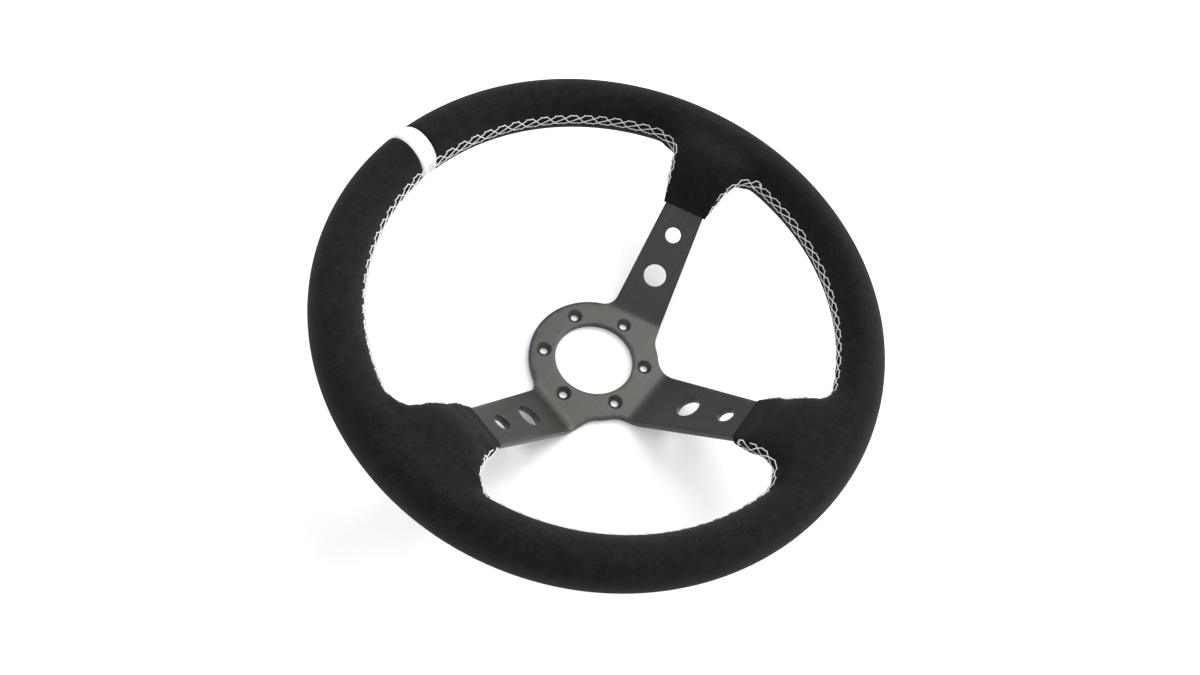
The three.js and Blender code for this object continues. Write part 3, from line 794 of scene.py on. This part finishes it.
def plate_loops():
    """Each boundary of the plate as a list of rings from the driver's face to the back face."""
    b = PLATE_BEVEL
    soft = [(b, 1), (0.3 * b, 1 - 0.6 * b / PLATE), (0, 1 - 2 * b / PLATE)]
    rounded = soft + [(distance, -level) for distance, level in reversed(soft)]
    outline = plate_outline()
    loops = [[(inset(outline, distance), level) for distance, level in rounded]]
    centre = [(circle((0, 0), CENTRE_HOLE_RADIUS + d, CENTRE_HOLE_SIDES), level) for d, level in rounded]
    loops.append(centre)
    deep = COUNTERSINK_RADIUS - BOLT_HOLE_RADIUS
    bolt = [(COUNTERSINK_RADIUS + COUNTERSINK_LIP, 1)]
    bolt += [(COUNTERSINK_RADIUS, 1 - 2 * COUNTERSINK_LIP_DEPTH / PLATE)]
    bolt += [(BOLT_HOLE_RADIUS, 1 - 2 * deep / PLATE)]
    bolt += [(BOLT_HOLE_RADIUS, -1 + 2 * BACK_CHAMFER / PLATE)]
    bolt += [(BOLT_HOLE_RADIUS + BACK_CHAMFER, -1)]
    for i in range(BOLT_COUNT):
        place = BOLT_CIRCLE_RADIUS * np.array([math.cos(i * math.pi / 3), math.sin(i * math.pi / 3)])
        loops.append([(circle(place, radius, BOLT_HOLE_SIDES), level) for radius, level in bolt])
    for spoke in SPOKES:
        for distance, radius in zip(spoke.holes, (BIG_HOLE_RADIUS, SMALL_HOLE_RADIUS)):
            s = FRONT_CORNER + distance * math.cos(SLOPE) + PLATE / 2 * math.sin(SLOPE)
            place = spoke.to_wheel(s, spoke.offset)
            rings = []
            for d, level in rounded:
                ring = circle(place, radius + d, SPOKE_HOLE_SIDES, math.cos(SLOPE), spoke.angle)
                rings.append((ring, level))
            loops.append(rings)
    return loops


def inner_points(loops):
    """Points inside the plate: a grid on the hub, and on each spoke lines across it."""
    reach = BEND - BEND_TANGENT
    candidates = []
    grid = np.arange(-HUB_GRID_REACH, HUB_GRID_REACH + 0.1, GRID_STEP)
    hub = np.array([(x, y) for x in grid for y in grid])
    flat = np.ones(len(hub), bool)
    bends = np.linspace(0, BEND_RADIUS * math.sin(SLOPE), BEND_LINES)
    rim_start = TAB_BEND + BEND_TANGENT - BEND_RADIUS * math.sin(SLOPE)
    slope_lines = np.arange(reach + bends[-1] + SLOPE_LINE_STEP, rim_start - 1, SLOPE_LINE_STEP)
    tab_lines = np.arange(rim_start + bends[-1] + TAB_STEP, TAB_END_RADIUS, TAB_STEP)
    lines = np.concatenate([reach + bends, slope_lines, rim_start + bends, tab_lines])
    for spoke in SPOKES:
        s, w = spoke.from_wheel(hub[:, 0], hub[:, 1])
        flat &= s < reach - 1.5
        for s in lines:
            for w in np.arange(-SPOKE_GRID_REACH, SPOKE_GRID_REACH + 0.1, GRID_STEP):
                candidates.append(spoke.to_wheel(s, spoke.offset + w))
    candidates = np.concatenate([hub[flat], np.array(candidates)])
    outline = loops[0][0][0]
    inside = np.zeros(len(candidates), bool)
    x, y = candidates[:, 0], candidates[:, 1]
    for (x1, y1), (x2, y2) in zip(outline, np.roll(outline, -1, axis=0)):
        crosses = (y1 > y) != (y2 > y)
        if crosses.any():
            inside[crosses] ^= x[crosses] < (x2 - x1) * (y[crosses] - y1) / (y2 - y1) + x1
    return candidates[inside]


def plate_sheet(rings, fill):
    """Triangles between the outline and the holes, with the given points inside."""
    edge_points = np.concatenate(rings)
    tree = KDTree(len(edge_points))
    for i, (x, y) in enumerate(edge_points):
        tree.insert((x, y, 0), i)
    tree.balance()
    clear = [tree.find((x, y, 0))[2] > CLEAR_OF_EDGE for x, y in fill]
    holes_clear = np.ones(len(fill), bool)
    for ring in rings[1:]:
        middle = ring.mean(axis=0)
        near = np.linalg.norm(fill - middle, axis=1)
        away = np.linalg.norm(ring - middle, axis=1)
        nearest = np.array([away[np.argmin(((ring - p) ** 2).sum(1))] for p in fill])
        holes_clear &= near > nearest
    points = np.concatenate([edge_points, fill[np.array(clear) & holes_clear]])
    edges, owner, base = [], [], 0
    for number, ring in enumerate(rings):
        n = len(ring)
        edges += [(base + i, base + (i + 1) % n) for i in range(n)]
        owner += [number] * n
        base += n
    owner += [-1] * (len(points) - base)
    result = geometry.delaunay_2d_cdt([Vector(p) for p in points], edges, [], 1, 1e-5)
    verts, _, triangles, origin = result[:4]
    first = [ids[0] for ids in origin]
    faces = []
    for triangle in triangles:
        ids = [first[i] for i in triangle]
        owners = {owner[i] for i in ids}
        if len(owners) == 1 and owners.pop() > 0:
            continue
        faces.append(ids)
    return points, faces


def spoke_plate():
    loops = plate_loops()
    fill = inner_points(loops)
    points, faces = [], []
    starts = []
    for level, end in ((1, 0), (-1, -1)):
        rings = [loop[end][0] for loop in loops]
        plan, triangles = plate_sheet(rings, fill)
        base = len(points)
        points.extend(on_plate(plan, level))
        starts.append(base)
        faces += [tuple(base + i for i in (t if level > 0 else t[::-1])) for t in triangles]
    offset = 0
    for loop in loops:
        n = len(loop[0][0])
        rows = [list(range(starts[0] + offset, starts[0] + offset + n))]
        for plan, level in loop[1:-1]:
            rows.append(list(range(len(points), len(points) + n)))
            points.extend(on_plate(plan, level))
        rows.append(list(range(starts[1] + offset, starts[1] + offset + n)))
        for upper, lower in zip(rows, rows[1:]):
            for i in range(n):
                j = (i + 1) % n
                faces.append((upper[i], lower[i], lower[j], upper[j]))
        offset += n
    obj = mesh_object("spoke_plate_fine", points, faces)
    fix_normals(obj)
    shade_smooth(obj, PLATE_CREASE)
    return obj


# ---- marker ---------------------------------------------------------------------------------

MARKER_ROWS = 31
MARKER_AROUND = 200
MARKER_PROUD = 0.12
MARKER_TUCK_WIDTH = 0.8
MARKER_CREASE = 60


def centre_band(holes):
    """The leather band at 12 o'clock: a strip round the rim's section, its edges tucked in."""
    rows, around = MARKER_ROWS, MARKER_AROUND
    x = np.linspace(-MARKER_HALF_WIDTH, MARKER_HALF_WIDTH, rows)
    b = np.linspace(0, 2 * math.pi, around, endpoint=False)
    xx, bb = np.meshgrid(x, b, indexing="ij")
    rho = RIM_RADIUS + GRIP_HALF_WIDTH * np.cos(bb)
    y = np.sqrt(rho**2 - xx**2)
    outer = np.stack([xx, y, RIM_Z + GRIP_HALF_HEIGHT * np.sin(bb)], -1).reshape(-1, 3)
    normal = unit(grip_gradient(outer))
    edge = MARKER_HALF_WIDTH - np.abs(outer[:, 0])
    height = MARKER_PROUD - ROLL_DEPTH * np.exp(-((edge / MARKER_TUCK_WIDTH) ** 2))
    skin = outer + normal * (height - seam_dip(outer, holes))[:, None]
    inner = outer - normal * SUEDE
    points = np.concatenate([skin, inner])
    count = rows * around
    faces = grid_faces(rows, around)
    faces += [tuple(count + i for i in f[::-1]) for f in grid_faces(rows, around)]
    for row in (0, rows - 1):
        for j in range(around):
            a, b2 = row * around + j, row * around + (j + 1) % around
            face = (a, b2, count + b2, count + a)
            faces.append(face if row else face[::-1])
    obj = mesh_object("marker_band", points, faces)
    fix_normals(obj)
    shade_smooth(obj, MARKER_CREASE)
    return obj


# ---- materials ------------------------------------------------------------------------------


class Nodes:
    """A small builder for node materials."""

    def __init__(self, name):
        self.material = bpy.data.materials.new(name)
        self.material.use_nodes = True
        self.tree = self.material.node_tree
        self.shader = self.tree.nodes["Principled BSDF"]
        self.where = self.add("ShaderNodeTexCoord").outputs["Object"]

    def add(self, kind, **values):
        node = self.tree.nodes.new(kind)
        for key, value in values.items():
            setattr(node, key, value)
        return node

    def link(self, source, target):
        self.tree.links.new(source, target)

    def set(self, **values):
        for key, value in values.items():
            self.shader.inputs[key.replace("_", " ")].default_value = value

    def stretched(self, scale):
        node = self.add("ShaderNodeMapping")
        node.inputs["Scale"].default_value = scale
        self.link(self.where, node.inputs["Vector"])
        return node.outputs["Vector"]

    def noise(self, scale, detail=3.0, roughness=0.5, vector=None):
        node = self.add("ShaderNodeTexNoise")
        node.inputs["Scale"].default_value = scale
        node.inputs["Detail"].default_value = detail
        node.inputs["Roughness"].default_value = roughness
        self.link(vector or self.where, node.inputs["Vector"])
        return node.outputs["Fac"]

    def cells(self, scale, feature="F1"):
        node = self.add("ShaderNodeTexVoronoi", feature=feature)
        node.inputs["Scale"].default_value = scale
        self.link(self.where, node.inputs["Vector"])
        return node.outputs["Distance"]

    def ramp(self, source, *stops):
        node = self.add("ShaderNodeValToRGB")
        elements = node.color_ramp.elements
        while len(elements) < len(stops):
            elements.new(0.5)
        for element, (place, colour) in zip(elements, stops):
            element.position = place
            element.color = (*colour, 1) if isinstance(colour, tuple) else (colour, colour, colour, 1)
        self.link(source, node.inputs["Fac"])
        return node.outputs["Color"]

    def spread(self, source, low, high):
        node = self.add("ShaderNodeMapRange")
        node.inputs["To Min"].default_value = low
        node.inputs["To Max"].default_value = high
        self.link(source, node.inputs["Value"])
        return node.outputs["Result"]

    def mix(self, kind, factor, a, b):
        node = self.add("ShaderNodeMix", data_type="RGBA", blend_type=kind)
        node.inputs[0].default_value = factor
        self.link(a, node.inputs[6])
        self.link(b, node.inputs[7])
        return node.outputs[2]

    def bump(self, height, strength, distance, before=None):
        node = self.add("ShaderNodeBump")
        node.inputs["Strength"].default_value = strength
        node.inputs["Distance"].default_value = distance
        self.link(height, node.inputs["Height"])
        if before is not None:
            self.link(before, node.inputs["Normal"])
        return node.outputs["Normal"]

    def finish(self, colour=None, roughness=None, normal=None):
        for source, name in ((colour, "Base Color"), (roughness, "Roughness"), (normal, "Normal")):
            if source is not None:
                self.link(source, self.shader.inputs[name])
        return self.material


def suede_material():
    n = Nodes("black_suede")
    nap = n.noise(150, 4, 0.6)
    fibres = n.noise(1250, 4, 0.7)
    colour = n.ramp(nap, (0.3, (0.0046, 0.0046, 0.0054)), (0.72, (0.0112, 0.0102, 0.0098)))
    grain = n.ramp(fibres, (0.34, 0.4), (0.68, 1.7))
    colour = n.mix("MULTIPLY", 1.0, colour, grain)
    specks = n.ramp(n.cells(120), (0.022, 0.3), (0.034, 0.0))
    colour = n.mix("ADD", 0.25, colour, specks)
    normal = n.bump(nap, 0.35, 0.0006)
    normal = n.bump(fibres, 0.9, 0.00022, normal)
    n.set(Specular_IOR_Level=0.06, Sheen_Weight=0.06, Sheen_Roughness=0.6)
    n.set(Sheen_Tint=(0.8, 0.76, 0.72, 1))
    return n.finish(colour, n.spread(nap, 0.85, 1.0), normal)


def anodised_material():
    n = Nodes("black_anodised_brushed")
    fine = n.noise(1, 3, 0.6, n.stretched((14, 3400, 1)))
    broad = n.noise(1, 2, 0.5, n.stretched((5, 420, 1)))
    cloud = n.noise(18, 3)
    colour = n.ramp(fine, (0.3, (0.034, 0.0365, 0.031)), (0.7, (0.058, 0.061, 0.053)))
    colour = n.mix("MULTIPLY", 0.4, colour, n.ramp(broad, (0.3, 0.8), (0.7, 1.15)))
    colour = n.mix("MULTIPLY", 0.35, colour, n.ramp(cloud, (0.3, 0.85), (0.7, 1.1)))
    normal = n.bump(fine, 0.5, 0.00006)
    n.set(Metallic=0.6, Specular_IOR_Level=0.5)
    return n.finish(colour, n.spread(fine, 0.30, 0.46), normal)


def leather_material():
    n = Nodes("white_leather")
    grain = n.cells(1500, "DISTANCE_TO_EDGE")
    soft = n.noise(120, 3)
    colour = n.ramp(soft, (0.3, (0.72, 0.73, 0.70)), (0.7, (0.81, 0.82, 0.79)))
    normal = n.bump(n.ramp(grain, (0.0, 0.0), (0.18, 1.0)), 0.25, 0.00008)
    n.set(Specular_IOR_Level=0.4)
    return n.finish(colour, n.spread(soft, 0.42, 0.58), normal)


def thread_material():
    n = Nodes("white_thread")
    fibres = n.noise(3500, 3)
    colour = n.ramp(fibres, (0.3, (0.64, 0.66, 0.63)), (0.7, (0.80, 0.82, 0.79)))
    normal = n.bump(fibres, 0.5, 0.00008)
    n.set(Specular_IOR_Level=0.35, Sheen_Weight=0.15)
    return n.finish(colour, n.spread(fibres, 0.55, 0.75), normal)


def metal_material(name, low, high, roughness):
    n = Nodes(name)
    wear = n.noise(400, 4)
    colour = n.ramp(wear, (0.3, low), (0.7, high))
    n.set(Metallic=1.0)
    return n.finish(colour, n.spread(wear, roughness, roughness + 0.15), n.bump(wear, 0.2, 0.00005))


def foam_material():
    n = Nodes("black_foam")
    pores = n.cells(900)
    colour = n.ramp(pores, (0.0, (0.012, 0.012, 0.013)), (0.6, (0.035, 0.035, 0.037)))
    n.set(Specular_IOR_Level=0.2)
    return n.finish(colour, n.spread(pores, 0.9, 0.75), n.bump(pores, 0.5, 0.0003))


def floor_material():
    n = Nodes("pale_floor")
    cloud = n.noise(6, 2)
    colour = n.ramp(cloud, (0.3, (0.90, 0.90, 0.90)), (0.7, (0.915, 0.915, 0.915)))
    n.set(Roughness=0.6, Specular_IOR_Level=0.25, Emission_Color=(1, 1, 1, 1), Emission_Strength=0.12)
    return n.finish(colour)


# ---- the model ----------------------------------------------------------------------------------

right, left, bottom = SPOKES
# Each seam is traced from a point well inside its opening.
seams = {
    "top": Seam((0, 60), (right, 1), (left, -1)),
    "lower_left": Seam((-70, -75), (left, 1), (bottom, -1)),
    "lower_right": Seam((70, -75), (bottom, 1), (right, -1)),
}
rng = np.random.default_rng(11)
stitches = {name: stitch_pattern(seam) for name, seam in seams.items()}
hole_points = np.concatenate([stitch_holes(seams[name], stitches[name]) for name in seams])
hole_tree = KDTree(len(hole_points))
for number, point in enumerate(hole_points):
    hole_tree.insert(point, number)
hole_tree.balance()

white_thread = thread_material()
for name, seam in seams.items():
    points, faces = thread_tubes(seam, stitches[name] + tack_pattern(seam), rng)
    stitching = mesh_object("cross_stitch_" + name, points, faces)
    fix_normals(stitching)
    shade_smooth(stitching)
    finish_piece(stitching, "thread", white_thread, "seam_thread_" + name)

cover = grip_surface()
refine_where(cover, beside_seam)
set_points(cover.data, onto_grip(points_of(cover.data), rounds=2))
cut_open(cover)
shape = points_of(cover.data)
normals = unit(grip_gradient(shape))
shape -= normals * (seam_dip(shape, hole_tree) + edge_roll(shape))[:, None]
set_points(cover.data, shape)
shell = cover.modifiers.new("thickness", "SOLIDIFY")
shell.thickness = SUEDE * MM
shell.offset = -1
apply_modifiers(cover)
shade_smooth(cover, COVER_CREASE)
finish_piece(cover, "suede", suede_material(), "suede_cover")

finish_piece(centre_band(hole_tree), "marker_leather", leather_material(), "centre_marker")
finish_piece(spoke_plate(), "anodised_plate", anodised_material(), "spoke_plate")

inner_looks = {
    "rim_core_ring": metal_material("mill_aluminium", (0.52, 0.53, 0.54), (0.66, 0.67, 0.68), 0.35),
    "foam_grip": foam_material(),
}
steel = metal_material("plain_steel", (0.50, 0.51, 0.52), (0.64, 0.65, 0.66), 0.25)
for spoke in SPOKES:
    for number in (1, 2, 3):
        inner_looks[f"rivet_{spoke.name}_{number}"] = steel
for node, material in inner_looks.items():
    bpy.data.objects[node].material_slots[0].material = material

# ---- stage, light and camera -----------------------------------------------------------------------

FLOOR_SIZE = 8
FLOOR_CUTS = 4
FLOOR_DROP = 0.0002

bpy.ops.mesh.primitive_grid_add(x_subdivisions=FLOOR_CUTS, y_subdivisions=FLOOR_CUTS, size=FLOOR_SIZE)
floor = bpy.context.object
floor.name = "floor"
floor.location = (0, 0, cad_bounds[0][2] - FLOOR_DROP)
floor.data.materials.append(floor_material())


def softbox(name, direction, distance, size, power, colour=(1, 1, 1)):
    light = bpy.data.lights.new(name, "AREA")
    light.shape = "RECTANGLE"
    light.size, light.size_y = size
    light.energy = power
    light.color = colour
    obj = bpy.data.objects.new(name, light)
    aim = Vector(direction).normalized()
    obj.location = aim * distance + Vector((0, 0, RIM_Z * MM))
    obj.rotation_euler = aim.to_track_quat("Z", "Y").to_euler()
    bpy.context.scene.collection.objects.link(obj)


WARM = (1.0, 0.96, 0.90)

softbox("overhead_soft", direction=(0.52, 0.05, 0.86), distance=1.5, size=(0.8, 0.8), power=9)
softbox("side_soft", direction=(-0.9, -0.3, 0.75), distance=1.8, size=(0.9, 0.9), power=0.7)
softbox("right_soft", direction=(0.82, -0.42, 0.5), distance=1.6, size=(1.0, 0.8), power=24, colour=WARM)

WORLD_COLOUR = (0.95, 0.97, 1.0, 1)
WORLD_STRENGTH = 0.92

world = bpy.data.worlds.new("studio")
bpy.context.scene.world = world
world.use_nodes = True
background = world.node_tree.nodes["Background"]
background.inputs["Color"].default_value = WORLD_COLOUR
background.inputs["Strength"].default_value = WORLD_STRENGTH
bpy.context.scene.view_settings.view_transform = "Standard"

CAMERA_PLACE = Vector((-267.68, -93.01, 510.72)) * MM
CAMERA_AZIMUTH = math.radians(-77.76)
CAMERA_ELEVATION = math.radians(59.16)
CAMERA_ROLL = math.radians(25.72)
CAMERA_LENS = 25.32
CAMERA_SENSOR = 36
CAMERA_SHIFT = (-0.0425, 0.0154)


def camera_axes():
    """The camera's right, up and back directions from its azimuth, elevation and roll."""
    a, e, r = CAMERA_AZIMUTH, CAMERA_ELEVATION, CAMERA_ROLL
    back = Vector((math.sin(a) * math.cos(e), -math.cos(a) * math.cos(e), math.sin(e)))
    level = Vector((math.cos(a), math.sin(a), 0))
    upright = back.cross(level)
    across = level * math.cos(r) + upright * math.sin(r)
    return across, back.cross(across), back


camera_data = bpy.data.cameras.new("camera")
camera_data.lens = CAMERA_LENS
camera_data.sensor_width = CAMERA_SENSOR
camera_data.shift_x, camera_data.shift_y = CAMERA_SHIFT
camera = bpy.data.objects.new("camera", camera_data)
bpy.context.scene.collection.objects.link(camera)
across, up, back = camera_axes()
turn = Matrix((across, up, back)).transposed().to_4x4()
camera.matrix_world = Matrix.Translation(CAMERA_PLACE) @ turn
bpy.context.scene.camera = camera
